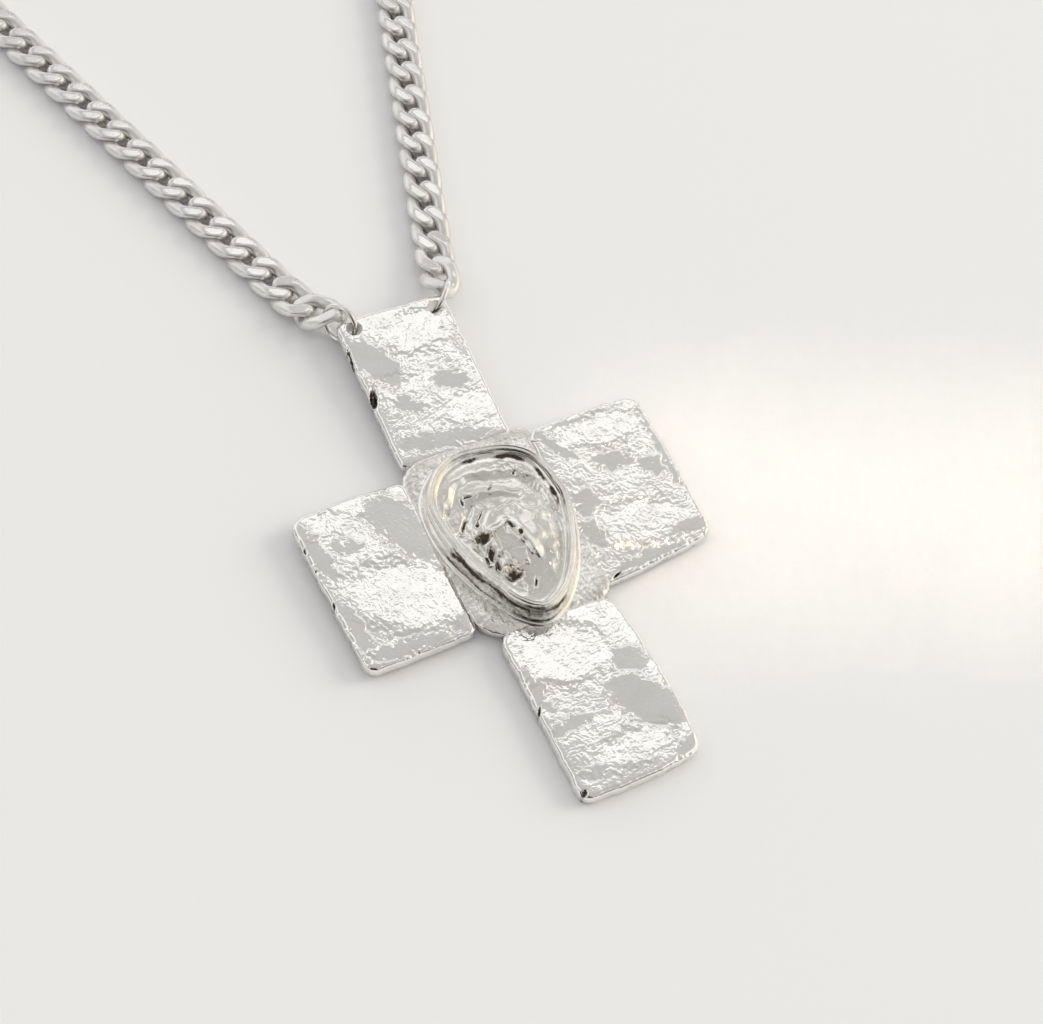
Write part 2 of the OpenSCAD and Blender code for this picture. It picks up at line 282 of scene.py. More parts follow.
def placed(name, data):
    """A new object in the scene."""
    thing = bpy.data.objects.new(name, data)
    bpy.context.scene.collection.objects.link(thing)
    return thing


def new_mesh(name, points, faces, tarnish_and_shade=None):
    """A mesh. Tarnish and painted shade say how dark each of its points is, from 0 to 1."""
    mesh = bpy.data.meshes.new(name)
    mesh.from_pydata([tuple(p) for p in points], [], faces)
    if tarnish_and_shade is not None:
        mesh.attributes.new("tarnish_and_shade", "FLOAT", "POINT").data.foreach_set("value", tarnish_and_shade)
    return mesh


def new_piece(name, points, faces, material, node, tarnish_and_shade=None):
    """A smooth piece that rides with the necklace and stands for its CAD node."""
    mesh = new_mesh(name, points, faces, tarnish_and_shade)
    mesh.shade_smooth()
    mesh.materials.append(material)
    piece = placed(name, mesh)
    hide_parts(node)
    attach(piece, "root")
    return piece


# Rows of points down a plate's side wall: share of the height, and how far in from the outline.
WALL_ROWS = [(0.72, 0.0), (0.4, 0.0), (0.14, 0.015), (0.03, 0.06)]
# The depth inside the outline is measured from one in so many of its points, and near the edge from them all.
ROUGH_STEP = 4
NEAR_EDGE = 0.8
RIM_STEP = 0.1
# The back has a coarser grid than the top by this many times, drawn in a little from the walls.
BACK_COARSER = 4
BACK_SHARE = 0.985


def plate_mesh(corners, grid, top_height, back_height, wall_noise):
    """Points and faces of a flat piece: a fine grid on top, walls down its outline and a coarser back."""
    nx, ny = grid
    top, outline = fill_outline(corners, nx, ny)
    depth = depth_inside(top, outline[::ROUGH_STEP])
    near_edge = depth < NEAR_EDGE
    depth[near_edge] = depth_inside(top[near_edge], outline)
    depth = np.maximum(depth, 0)
    height = top_height(top[..., 0], top[..., 1], depth)
    points = [np.concatenate([top, height[..., None]], axis=-1).reshape(-1, 3)]
    numbers = numbered(nx + 1, ny + 1)
    faces, above = grid_faces(numbers), grid_edge(numbers)
    n = len(above)
    rim_points = points[0][above]
    middle = rim_points[:, :2].mean(axis=0)
    way = rim_points[:, :2] - middle
    way /= np.linalg.norm(way, axis=1)[:, None]
    walked = np.arange(n) * RIM_STEP
    count = len(points[0])
    base = back_height(rim_points[:, 0], rim_points[:, 1])
    for level, inset in WALL_ROWS:
        out = wall_noise * hills(walked, np.full_like(walked, level * 3 + 7.5), 77) * min(1, level * 4)
        row = rim_points.copy()
        row[:, :2] += way * (out - inset - 0.5 * wall_noise)[:, None]
        row[:, 2] = base + (rim_points[:, 2] - base) * level
        points.append(row)
        below = list(range(count, count + n))
        count += n
        faces += grid_faces(np.array([above + above[:1], below + below[:1]]))
        above = below
    bx, by = nx // BACK_COARSER, ny // BACK_COARSER
    back, _ = fill_outline(corners, bx, by)
    back = middle + (back - middle) * BACK_SHARE
    back_z = back_height(back[..., 0], back[..., 1])
    points.append(np.concatenate([back, back_z[..., None]], axis=-1).reshape(-1, 3))
    numbers = numbered(bx + 1, by + 1, count)
    faces += grid_faces(numbers, flipped=True)
    back_rim = grid_edge(numbers)
    for k in range(len(back_rim)):
        strip = [above[(k * BACK_COARSER + c) % n] for c in range(BACK_COARSER + 1)]
        faces.append(tuple(strip[::-1] + [back_rim[k], back_rim[(k + 1) % len(back_rim)]]))
    return np.concatenate(points), faces


def fill(tree, node, inputs):
    """The node, its inputs set to values or wired from other nodes' outputs."""
    for place, value in inputs.items():
        if isinstance(value, bpy.types.NodeSocket):
            tree.links.new(value, node.inputs[place])
        else:
            node.inputs[place].default_value = value
    return node


def new_node(tree, kind, inputs):
    """A new shader node of the given kind, filled in."""
    return fill(tree, tree.nodes.new("ShaderNode" + kind), inputs)


def reckoned(tree, operation, *inputs):
    """The output of a new math node, its inputs numbers or other nodes' outputs."""
    node = tree.nodes.new("ShaderNodeMath")
    node.operation = operation
    return fill(tree, node, dict(enumerate(inputs))).outputs[0]


def mixed(tree, share, first, second):
    """The output of a new node that mixes two colours, each given or wired."""
    node = tree.nodes.new("ShaderNodeMix")
    node.data_type = "RGBA"
    return fill(tree, node, {0: share, 6: first, 7: second}).outputs[2]


def skin_wrinkles():
    """Group: the finest wrinkles, the change of polish, and the tarnish and painted shade of silver skin."""
    group = bpy.data.node_groups.new("silver_skin", "ShaderNodeTree")
    for name, value in (("Size", 0.0004), ("Unevenness", 0.5), ("Polish", 0.1), ("Dullness", 0.2)):
        socket = group.interface.new_socket(name, in_out="INPUT", socket_type="NodeSocketFloat")
        socket.default_value = value
    for name in ("Height", "Roughness", "Dull mask", "Tarnish_and_shade"):
        group.interface.new_socket(name, in_out="OUTPUT", socket_type="NodeSocketFloat")
    given = group.nodes.new("NodeGroupInput").outputs
    place = group.nodes.new("ShaderNodeTexCoord").outputs["Object"]
    # The wrinkles stand both ways from the middle of a twisted noise.
    per_size = reckoned(group, "DIVIDE", 1.0, given["Size"])
    noise = {"Vector": place, "Scale": per_size, "Detail": 3, "Roughness": 0.6, "Distortion": 0.6}
    fold = reckoned(group, "SUBTRACT", new_node(group, "TexNoise", noise).outputs["Fac"], 0.5)
    height = reckoned(group, "MULTIPLY", reckoned(group, "ABSOLUTE", fold), given["Unevenness"])
    # Broad patches that the polishing left duller.
    patches = new_node(group, "TexNoise", {"Vector": place, "Scale": 420, "Detail": 4}).outputs["Fac"]
    spread = {"Value": patches, "From Min": 0.42, "From Max": 0.68}
    mask = new_node(group, "MapRange", spread).outputs["Result"]
    polish = {"Factor": mask, "A": given["Polish"], "B": given["Dullness"]}
    rough = new_node(group, "Mix", polish).outputs["Result"]
    # The mesh says where tarnish and painted shade lie. The wrinkles make them ragged, and they dull the
    # silver under them.
    laid_on = group.nodes.new("ShaderNodeAttribute")
    laid_on.attribute_name = "tarnish_and_shade"
    uneven_darkening = reckoned(group, "MULTIPLY_ADD", fold, 2.2, 1.0)
    ragged = reckoned(group, "MULTIPLY", uneven_darkening, laid_on.outputs["Fac"])
    darkening_range = {"Value": ragged, "From Min": 0.25, "From Max": 0.75}
    tarnish_and_shade = new_node(group, "MapRange", darkening_range).outputs["Result"]
    dulled = reckoned(group, "MULTIPLY_ADD", tarnish_and_shade, 0.25, rough)
    results = {"Height": height, "Roughness": dulled, "Dull mask": mask, "Tarnish_and_shade": tarnish_and_shade}
    fill(group, group.nodes.new("NodeGroupOutput"), results)
    return group


SILVER_SKIN = skin_wrinkles()
# The colour of tarnish. It also paints shade on the cup's wall and a shadow under the cup's curled ridge.
TARNISH_AND_SHADE = (0.085, 0.066, 0.052, 1)


def silver(name, bright, dull, size, unevenness, polish, dullness, bump):
    """Sterling silver: its colour bright and dull, the size of its finest wrinkles and how polished it is."""
    material = bpy.data.materials.new(name)
    material.use_nodes = True
    tree = material.node_tree
    skin = tree.nodes.new("ShaderNodeGroup")
    skin.node_tree = SILVER_SKIN
    fill(tree, skin, {"Size": size, "Unevenness": unevenness, "Polish": polish, "Dullness": dullness})
    colour = mixed(tree, skin.outputs["Dull mask"], (*bright, 1), (*dull, 1))
    darkened = mixed(tree, skin.outputs["Tarnish_and_shade"], colour, TARNISH_AND_SHADE)
    relief = new_node(tree, "Bump", {"Strength": 1.0, "Distance": bump, "Height": skin.outputs["Height"]})
    look = {"Base Color": darkened, "Metallic": 1.0, "Roughness": skin.outputs["Roughness"]}
    fill(tree, tree.nodes["Principled BSDF"], {**look, "Normal": relief.outputs["Normal"]})
    return material


HAMMERED = silver("hammered_silver", (0.95, 0.94, 0.92), (0.9, 0.89, 0.86), 0.0003, 1.0, 0.08, 0.15, 0.000012)
# In a pool's own half widths: where its calm ends, and over how much it fades before that.
POOL_END = 1.35
POOL_SOFT = 0.45
# How far a pool's outline wavers and over what length, and how steep and wavering the sides of a flaw are.
POOL_WAVER, POOL_TREMBLE = (0.5, 1.1), (0.35, 0.45)
FLAW_STEEP, FLAW_WAVER = 1.6, (0.04, 0.3, 71, 72)


def calm_pools(x, y, pools, seed):
    """How calm the skin is, from 0 to 1, and how high the calm pools stand."""
    calm, lift = np.zeros_like(x), np.zeros_like(x)
    wx, wy = pulled(x, y, (*POOL_WAVER, seed + 8, seed + 9), (*POOL_TREMBLE, seed + 10, seed + 12))
    for px, py, half_long, half_wide, turn, depth in pools:
        turn = -math.radians(turn)
        u, v = swung(wx - px, wy - py, turn)
        near = ramp(np.hypot(u / half_long, v / half_wide), POOL_END, POOL_END - POOL_SOFT)
        near = depth * near * near * (3 - 2 * near)
        calm = np.maximum(calm, near)
        # The pool slopes along and across just enough to face away, so that its rim stays low.
        along, across = swung(*LIGHT_WAY, turn)
        share = POOL_SLOPE / ((along / half_long) ** 2 + (across / half_wide) ** 2)
        u, v = swung(x - px, y - py, turn)
        lift += near * share * (along / half_long**2 * u + across / half_wide**2 * v)
    return calm, lift


def flaws(x, y, places):
    """How deep the flaws go at each place, and how dark it is: with tarnish, and under the cup's curled ridge
    with painted shadow.
    """
    deep, dark = np.zeros_like(x), np.zeros_like(x)
    wx, wy = pulled(x, y, FLAW_WAVER)
    for fx, fy, half_long, half_wide, turn, depth in places:
        u, v = swung(wx - fx, wy - fy, -math.radians(turn))
        away = (u / half_long) ** 2 + (v / half_wide) ** 2
        inside = np.exp(-(away**FLAW_STEEP))
        deep, dark = np.maximum(deep, depth * inside), np.maximum(dark, inside)
    return deep, dark


# Polishing took a little off the whole top and more near the edge, and calmed the skin along it.
SKIN_SINKS = 0.06
PILLOW_DROP, PILLOW_WIDTH = 0.1, 1.1
CALM_RIM = 0.6


def tile_top(name):
    """The height of a tile's top, as a function of the place and of its depth inside the outline."""
    seed, grain, rise = TILE_GRAIN[name]
    middle = np.mean([corner[:2] for corner in TILE_CORNERS[name]], axis=0)

    def height(x, y, depth):
        calm, lift = calm_pools(x, y, TILE_POOLS[name], seed)
        calm = np.maximum(calm, np.exp(-((depth / CALM_RIM) ** 2)))
        skin = wrinkled(x, y, seed, grain, calm) + lift
        margin = ramp(depth, 0, TILE_EDGE_WIDTH)
        drop = TILE_EDGE_DROP * (1 - np.sqrt(1 - (1 - margin) ** 2))
        pillow = PILLOW_DROP * np.exp(-depth / PILLOW_WIDTH)
        rising = rise * ((x - middle[0]) * LIGHT_WAY[0] + (y - middle[1]) * LIGHT_WAY[1])
        return TILE_THICK - SKIN_SINKS + skin + rising - drop - pillow - flaws(x, y, TILE_FLAWS[name])[0]

    return height


BACK_LIFT, BACK_SWELL = 0.02, (0.012, 1.6, 5)


def tile_back(x, y):
    """The height of a tile's back over the table: a shade uneven."""
    return BACK_LIFT + swells(x, y, BACK_SWELL)


DRILL_SIDES = 48
DRILL_LOW, DRILL_HIGH = -1, 3
HOLE_TARNISH = 0.8
SHARP_ANGLE = math.radians(60)


def drill_holes(tile):
    """Holes for the jump rings, drilled square through the tile."""
    n = DRILL_SIDES
    turn = np.linspace(0, 2 * np.pi, n, endpoint=False)
    rim = np.stack([HOLE_R * np.cos(turn), HOLE_R * np.sin(turn)], 1)
    points, faces = [], []
    for spot in HOLES:
        first = len(points)
        for z in (DRILL_LOW, DRILL_HIGH):
            points += [(*(rim[k] + spot), z) for k in range(n)]
        faces += [(first + k, first + (k + 1) % n, first + n + (k + 1) % n, first + n + k) for k in range(n)]
        faces += [tuple(range(first + n - 1, first - 1, -1)), tuple(range(first + n, first + 2 * n))]
    tarnish_and_shade = np.full(len(points), HOLE_TARNISH)
    drills = placed("drills", new_mesh("drills", lay_flat(points), faces, tarnish_and_shade))
    cut = tile.modifiers.new("holes", "BOOLEAN")
    cut.object = drills
    cut.operation = "DIFFERENCE"
    cut.solver = "EXACT"
    bpy.context.view_layer.update()
    drilled = bpy.data.meshes.new_from_object(tile.evaluated_get(bpy.context.evaluated_depsgraph_get()))
    tile.modifiers.clear()
    tile.data = drilled
    drilled.set_sharp_from_angle(angle=SHARP_ANGLE)
    bpy.data.objects.remove(drills)


TILE_GRID = (216, 316)
TILE_WALL_NOISE = 0.08
for name, corners in TILE_CORNERS.items():
    points, faces = plate_mesh(corners, TILE_GRID, tile_top(name), tile_back, TILE_WALL_NOISE)
    dark = flaws(points[:, 0], points[:, 1], TILE_FLAWS[name])[1]
    tile = new_piece(name, lay_flat(points), faces, HAMMERED, "cross", dark)
    if name == "top_tile":
        drill_holes(tile)

# The plate behind the cup
# A cast plate joins the four tiles, soldered on behind them. It shows only in the gaps between them,
# grainy as it came from the sand.
PLATE_CORNERS = [(-7.2, -9, 4.6, 0), (6.6, -8.9, 2.2, 0), (6.7, 11, 1.8, 0), (-7.1, 11.1, 3.4, 0)]
PLATE_LIFT = 0.12
PLATE_THICK = 1.15
PLATE_GRID = (124, 172)
PLATE_WALL_NOISE = 0.05
PLATE_GRAIN = [(0.05, 0.5, 61), (0.05, 0.3, 62)]
PLATE_SINKS = 0.03
# The plate is worn down along its edge by this much, fading over this width.
WORN_DROP, WORN_WIDTH = 0.3, 0.35


def plate_top(x, y, depth):
    """The height of the plate's sandy top."""
    flat = PLATE_LIFT + PLATE_THICK - PLATE_SINKS
    return flat + swells(x, y, *PLATE_GRAIN) - WORN_DROP * np.exp(-depth / WORN_WIDTH)


def plate_back(x, y):
    """The height of the plate's back, which is flat."""
    return np.full_like(x, PLATE_LIFT)


GRAINY = silver("cast_silver", (0.92, 0.91, 0.88), (0.74, 0.72, 0.68), 0.0003, 1.0, 0.07, 0.2, 0.00005)
points, faces = plate_mesh(PLATE_CORNERS, PLATE_GRID, plate_top, plate_back, PLATE_WALL_NOISE)
new_piece("plate", lay_flat(points), faces, GRAINY, "cross")

# The cup and its molten boss
# An egg-shaped wall of sheet with a rolled rim is soldered on the plate. Silver was melted inside it,
# and set with a terrace, a smooth dome, a curled ridge and pits that stay dark with tarnish. Painted shade
# darkens the wall's side turned from the light, and a painted shadow lies under the curled ridge.
CUP_MIDDLE = np.array([-0.1, 0.2])
# The rim's crest from above, anticlockwise from the right: blunt at its top and narrow at its foot.
RIM = [
    (5.85, 0.8), (5.75, 3.4), (5.1, 5.9), (3.5, 7.6), (1.0, 8.55), (-1.8, 8.85), (-4.2, 8.0), (-5.9, 5.9),
    (-6.3, 3.4), (-6.0, 0.6), (-5.2, -2.1), (-4.1, -4.8), (-2.8, -7.2), (-0.9, -8.5), (1.3, -7.7),
    (3.2, -5.6), (4.6, -3.0),
]
# The wall from its foot over the grooved rim and down inside: distance out from the crest, height.
CUP_WALL = [
    (1.0, 0.6), (1.0, 1.2), (0.95, 1.36), (0.82, 1.44), (0.68, 1.5), (0.62, 1.75), (0.55, 2.2), (0.45, 2.66),
    (0.34, 2.8), (0.33, 2.94), (0.3, 3.4), (0.2, 3.7), (0.08, 3.87), (0.0, 3.9), (-0.08, 3.8), (-0.2, 3.78),
    (-0.28, 3.86), (-0.36, 3.8), (-0.42, 3.5), (-0.5, 3.15), (-0.7, 2.92), (-1.05, 2.78), (-1.5, 2.72),
    (-1.85, 2.71), (-2.15, 2.66),
]
# This far in from the crest the wall begins to run out into the molten silver, over this width.
WALL_END = -0.6
WALL_MELTS = 0.7
# Bent by hand, the wall sways in and out, and its rim up and down. Each comes in between two heights. Waves:
# how far, how close together, where in the hills, seed.
WALL_SWAYS, SWAY_RISE = [(0.05, 2.1, 5, 210), (0.03, 7, 9, 211)], (1.4, 2.9)
RIM_LIFTS, LIFT_RISE = [(0.1, 1.7, 20, 212)], (2.8, 3.8)
# Fine marks cross it too, this close together going up.
WALL_MARKS, MARKS_UP = [(0.02, 16, 30, 213)], 2.5
# Below this height the inside of the wall leans with the floor.
LEAN_FALL = (3.6, 3.0)
# Tarnish on the wall, laid only on its side turned from the light, so it is partly painted shade and a
# painted
# reflection of the dark room. Where: from this turn from +X, over how much it comes in, and to this turn.
# Its bands: height, spread, strength. Its streaks: their middle, how uneven, how many round and up, seed.
OUTER_BANDS = [(3.0, 0.55, 1.6), (1.75, 0.22, 1.3)]
OUTER_TARNISH_AND_SHADE = ((172, 0.2, 290), OUTER_BANDS, (0.55, 0.6, 3, 2, 214))
INNER_BANDS = [(3.5, 0.075, 1.9), (3.15, 0.075, 1.9), (2.85, 0.075, 1.9)]
INNER_TARNISH_AND_SHADE = ((0, 0.3, 105), INNER_BANDS, (0.65, 0.9, 5, 4, 215))
TARNISH_AND_SHADE_END = 0.3
FLOOR_Z = 2.6
FLOOR_LEAN = 0.075
FLOOR_MIDDLE = np.array([0.3, 0.2])
# The molten lumps: x, y, height, spread across, spread along, how steep the side is.
LUMPS = [
    (1.0, -1.0, 1.2, 2.6, 3.6, 1.1), (-1.5, -1.1, 0.4, 1.3, 2.1, 1.0), (2.35, -3.7, 0.22, 0.6, 0.9, 1.0),
    (1.6, -5.0, 0.14, 0.35, 0.8, 1.0), (3.0, 1.6, 0.1, 0.7, 1.1, 1.0), (-0.17, -2.41, 0.12, 0.2, 0.14, 1.3),
]
# A terrace steps up on the left of its line, with a lip above the step and a groove below it. Lip and groove:
# height, distance up from the line, width.
TERRACE = [
    (-4.6, 4.6), (-3.4, 6.1), (-1.9, 6.56), (-0.72, 6.28), (0.55, 5.9), (2.59, 5.18), (3.64, 4.06),
    (4.02, 2.68), (4.3, 0.6),
]
TERRACE_STEP, TERRACE_SOFT = 0.28, 0.12
TERRACE_LIP = (0.05, 0.35, 0.14)
TERRACE_GROOVE = (-0.07, -0.42, 0.1)
# Ridges, and a cliff with a hollow at its foot. Sizes: height, width to the left, width to the right.
CREST = [(-2.5, 3.9), (-2.25, 4.44), (-1.25, 4.62), (-0.42, 4.42), (0.75, 3.85), (1.8, 3.02)]
CREST_SIZE = (0.22, 0.42, 0.3)
BOSS_BROW = [(-2.3, 1.3), (-1.83, 1.88), (-0.72, 2.29), (1.1, 2.26), (1.99, 1.14), (3.13, 0.5)]
BROW_SIZE = (0.16, 0.3, 0.9)
CURL = [
    (-3.63, 0.45), (-2.44, 0.24), (-1.64, 0.41), (-0.6, 0.63), (-0.26, 0.04), (-0.03, -1.08), (0.31, -1.96),
    (0.6, -2.96),
]
CURL_SIZE = (0.42, 0.6, 0.2)
BOSS_CLIFF = [
    (-2.6, 3.7), (-3.28, 3.09), (-3.9, 1.73), (-3.5, 0.6), (-3.39, -0.69), (-2.96, -2.47), (-2.35, -3.89),
    (-1.6, -5.35),
]
CLIFF_SIZE = (-0.32, 0.35, 0.6)
# A band of granules down the right side, where the silver froze first.
GRANULES = [(1.6, 6.6), (3.2, 4.7), (4.3, 1.8), (4.5, -1.4), (2.9, -4.6)]
GRANULES_WIDTH = 0.75
# A smooth facet on the side of the boss, under the curled ridge, and its height and slopes at its middle.
FACET = [(-2.2, 0.3), (-0.9, 0.6), (-0.5, -0.9), (0.1, -2.6), (-0.2, -3.9), (-1.3, -3.6), (-2.0, -2.2)]
FACET_MIDDLE = (-0.9, -1.8)
FACET_HEIGHT, FACET_SLOPE_X, FACET_SLOPE_Y = 3.42, 0.12, 0.12
FACET_SOFT = 0.3
# Pits: x, y, half length, half width, turn of the length from +X, depth. The one at -0.35, 0.1 lies under the
# curled ridge, and its dark is a painted shadow of the ridge.
PITS_AND_SHADOW = [
    (-0.2, 4.83, 0.3, 0.11, 57, 0.3), (-2.45, 4.75, 0.34, 0.14, 0, 0.3), (-3.17, 4.45, 0.34, 0.12, 90, 0.3),
    (-3.95, 2.3, 0.75, 0.13, 50, 0.3), (-4.7, 1.55, 0.4, 0.26, -15, 0.35), (-2.85, 1.85, 0.34, 0.16, 48, 0.3),
    (-2.2, 2.5, 0.6, 0.08, 45, 0.15), (-2.9, 0.35, 0.62, 0.52, -18, 0.5), (-2.95, -1.5, 0.75, 0.27, 62, 0.4),
    (-2.8, -2.75, 0.6, 0.22, -80, 0.4), (-3.7, -0.6, 0.55, 0.14, -65, 0.3),
    # On the line below, the second pit lies under the curled ridge. Its dark is a painted shadow of the
    # ridge's overhang.
    (-1.75, -4.05, 0.75, 0.48, -40, 0.4), (-0.35, 0.1, 0.5, 0.18, -68, 0.35),
    (0.15, -0.95, 0.3, 0.22, 60, 0.3), (-0.3, -5.65, 0.42, 0.14, 76, 0.25), (-4.7, 4.0, 0.34, 0.1, 55, 0.2),
    (2.5, 5.3, 0.2, 0.12, 60, 0.2), (-3.4, -2.2, 0.4, 0.1, 40, 0.3),
]
# Molten metal flows, so every form in it is pulled about by these waves, and the pits by both.
FLOW = (0.18, 0.9, 201, 202)
EDDIES = (0.1, 0.33, 203, 204)
# The curled ridge froze early, and follows the flow only this much.
CURL_FLOW = 0.3
# The silver swells softly and is roughest within this distance of the cliff. Far from it this much is gone.
CLIFF_ROUGH = (0.4, 1.9)
FAR_SMOOTH = 0.8
SWELL, CRUMPLE = (0.035, 1.1, 205), (0.035, 0.5, 206)
GRANULES_RELIEF = [(0.06, 0.3, 207), (0.045, 0.18, 208)]


def from_line(x, y, path):
    """Distance from a line of points, and the side of it: above zero on its left."""
    best = np.full(x.shape, 1e9)
    side = np.zeros_like(x)
    p = np.array(path)
    for a, b in zip(p[:-1], p[1:]):
        way = b - a
        t = np.clip(((x - a[0]) * way[0] + (y - a[1]) * way[1]) / (way @ way), 0, 1)
        off = np.hypot(x - a[0] - t * way[0], y - a[1] - t * way[1])
        closer = off < best
        best = np.where(closer, off, best)
        side = np.where(closer, np.sign(way[0] * (y - a[1]) - way[1] * (x - a[0])), side)
    return best, side


def hump(v, middle, width):
    """1 at the middle, and down to nothing within about two widths of it."""
    return np.exp(-(((v - middle) / width) ** 2))


def ridge(x, y, path, size):
    """A ridge along a line of points, or a groove where its height is below zero."""
    high, left, right = size
    far, side = from_line(x, y, path)
    return high * hump(far, 0, np.where(side > 0, left, right))


def floor_lean(x, y):
    """The molten floor rises a little towards the window."""
    return FLOOR_LEAN * (x * LIGHT_WAY[0] + y * LIGHT_WAY[1])


def molten(x, y):
    """Height of the silver melted inside the cup."""
    wx, wy = pulled(x, y, FLOW)
    z = FLOOR_Z + floor_lean(x, y)
    for lx, ly, high, sx, sy, steep in LUMPS:
        z = z + high * np.exp(-((((wx - lx) / sx) ** 2 + ((wy - ly) / sy) ** 2) ** steep))
    far, side = from_line(wx, wy, TERRACE)
    z = z + TERRACE_STEP / (1 + np.exp(-far * side / TERRACE_SOFT))
    for high, middle, width in (TERRACE_LIP, TERRACE_GROOVE):
        z = z + high * hump(far * side, middle, width)
    z = z + ridge(wx, wy, CREST, CREST_SIZE) + ridge(wx, wy, BOSS_BROW, BROW_SIZE)
    share = ramp(depth_inside(np.stack([wx, wy], -1), np.array(FACET)), 0, FACET_SOFT)
    facet = FACET_HEIGHT + FACET_SLOPE_X * (x - FACET_MIDDLE[0]) + FACET_SLOPE_Y * (y - FACET_MIDDLE[1])
    z = z + (facet - z) * share * share * (3 - 2 * share)
    z = z + ridge(x + CURL_FLOW * (wx - x), y + CURL_FLOW * (wy - y), CURL, CURL_SIZE)
    z = z + ridge(wx, wy, BOSS_CLIFF, CLIFF_SIZE)
    z = z - flaws(*pulled(x, y, FLOW, EDDIES), PITS_AND_SHADOW)[0]
    rough = 1 - FAR_SMOOTH * ramp(from_line(wx, wy, BOSS_CLIFF)[0], *CLIFF_ROUGH)
    z = z + rough * (swells(x, y, SWELL) + np.abs(swells(x, y, CRUMPLE)))
    z = z + 0.015 * hills(x / 1.6, y / 0.9, 209)
    band = hump(from_line(x, y, GRANULES)[0], 0, GRANULES_WIDTH)
    return z + band * swells(x, y, *GRANULES_RELIEF)


def closed_curve(points, count):
    """So many points along a smooth closed curve through the given ones."""
    p = np.array(points, float)
    at = np.linspace(0, len(p), count, endpoint=False)
    k, f = at.astype(int), (at % 1)[:, None]
    a, b, c, d = (p[(k + j) % len(p)] for j in (-1, 0, 1, 2))
    return 0.5 * (2 * b + (c - a) * f + (2 * a - 5 * b + 4 * c - d) * f**2 + (3 * b - a - 3 * c + d) * f**3)


def wall_tarnish_and_shade(turn, z, tarnish_and_shade):
    """How dark the wall's tarnish and painted shade make it at a height, from 0 to 1, all round the egg."""
    (start, soft, stop), bands, (least, uneven, times_round, times_up, seed) = tarnish_and_shade
    begun = ramp(turn, math.radians(start), math.radians(start) + soft)
    ended = ramp(turn, math.radians(stop), math.radians(stop) - TARNISH_AND_SHADE_END)
    streaks = least + uneven * hills(turn * times_round, np.full_like(turn, z * times_up), seed)
    lines = sum(strength * hump(z, high, spread) for high, spread, strength in bands)
    return np.clip(begun * ended * streaks * lines, 0, 1)


def band_faces(rows, around):
    """Faces between rows of points that each close round."""
    return grid_faces(np.pad(numbered(rows, around), ((0, 0), (0, 1)), "wrap"), flipped=True)


def cup_mesh(around, rings_inside):
    """The cup as rings of points: up the wall, over its rim, down inside and in to the floor's middle."""
    wall = np.array(CUP_WALL)
    # Cutting the wall's corners twice leaves it smoothly rounded.
    for _ in range(2):
        a, b = wall[:-1], wall[1:]
        cut = np.stack([0.75 * a + 0.25 * b, 0.25 * a + 0.75 * b], 1).reshape(-1, 2)
        wall = np.concatenate([wall[:1], cut, wall[-1:]])
    crest = closed_curve(RIM, around)
    away = crest - CUP_MIDDLE
    away /= np.linalg.norm(away, axis=1)[:, None]
    c, s = away[:, 0], away[:, 1]
    turn = np.arctan2(s, c) % (2 * np.pi)
    rows, dark = [], []

    def waves(layers, up=0):
        return sum(far * hills(c * close + at, s * close + up + at, seed) for far, close, at, seed in layers)

    for out, z in wall:
        moved, high = waves(WALL_MARKS, MARKS_UP * z), z
        if out > WALL_END:
            moved = moved + waves(WALL_SWAYS) * ramp(z, *SWAY_RISE)
            high = z + waves(RIM_LIFTS) * ramp(z, *LIFT_RISE)
        x, y = (crest + away * (out + moved)[:, None]).T
        if out < 0:
            high = high + floor_lean(x, y) * ramp(z, *LEAN_FALL)
        melted = ramp(out, WALL_END, WALL_END - WALL_MELTS)
        rows.append(np.stack([x, y, high * (1 - melted) + molten(x, y) * melted], 1))
        # On the side turned from the light, the wall's bands of tarnish are also painted shade and a painted
        # reflection.
        dark.append(wall_tarnish_and_shade(turn, z, OUTER_TARNISH_AND_SHADE if out > 0 else INNER_TARNISH_AND_SHADE))
    edge = rows[-1][:, :2]
    for k in range(1, rings_inside):
        x, y = (FLOOR_MIDDLE + (edge - FLOOR_MIDDLE) * (1 - k / rings_inside)).T
        rows.append(np.stack([x, y, molten(x, y)], 1))
        # The pits are dark with tarnish, and the one under the curled ridge with painted shadow.
        dark.append(flaws(*pulled(x, y, FLOW, EDDIES), PITS_AND_SHADOW)[1])
    points = np.concatenate(rows + [[[*FLOOR_MIDDLE, molten(FLOOR_MIDDLE[:1], FLOOR_MIDDLE[1:])[0]]]])
    dark = np.concatenate(dark + [[0]])
    last = (len(rows) - 1) * around
    faces = band_faces(len(rows), around)
    faces += [(last + k, last + (k + 1) % around, len(points) - 1) for k in range(around)]
    return points, faces, dark


CUP_AROUND, CUP_RINGS_INSIDE = 256, 84
MOLTEN = silver("molten_silver", (0.9, 0.885, 0.85), (0.78, 0.755, 0.71), 0.0004, 1.0, 0.12, 0.22, 0.00003)
points, faces, dark = cup_mesh(CUP_AROUND, CUP_RINGS_INSIDE)
new_piece("cup", lay_flat(points), faces, MOLTEN, "cross", dark)

# The jump rings
# Two plain rings of round silver wire go down through the holes of the top tile and carry the chain.
# Each stands on the table, leans over a little, and is turned the way that its strand pulls.
RING_WIRE = 0.55
RING_R = 1.85
RING_LEAN = math.radians(20)
RING_TURN = [math.radians(117), math.radians(50)]
# The hole's middle lies this far inside the ring's wire line.
RING_SHIFT = 0.08
RING_Z = RING_R * math.cos(RING_LEAN) + RING_WIRE / 2
RING_AROUND, RING_ACROSS = 72, 20


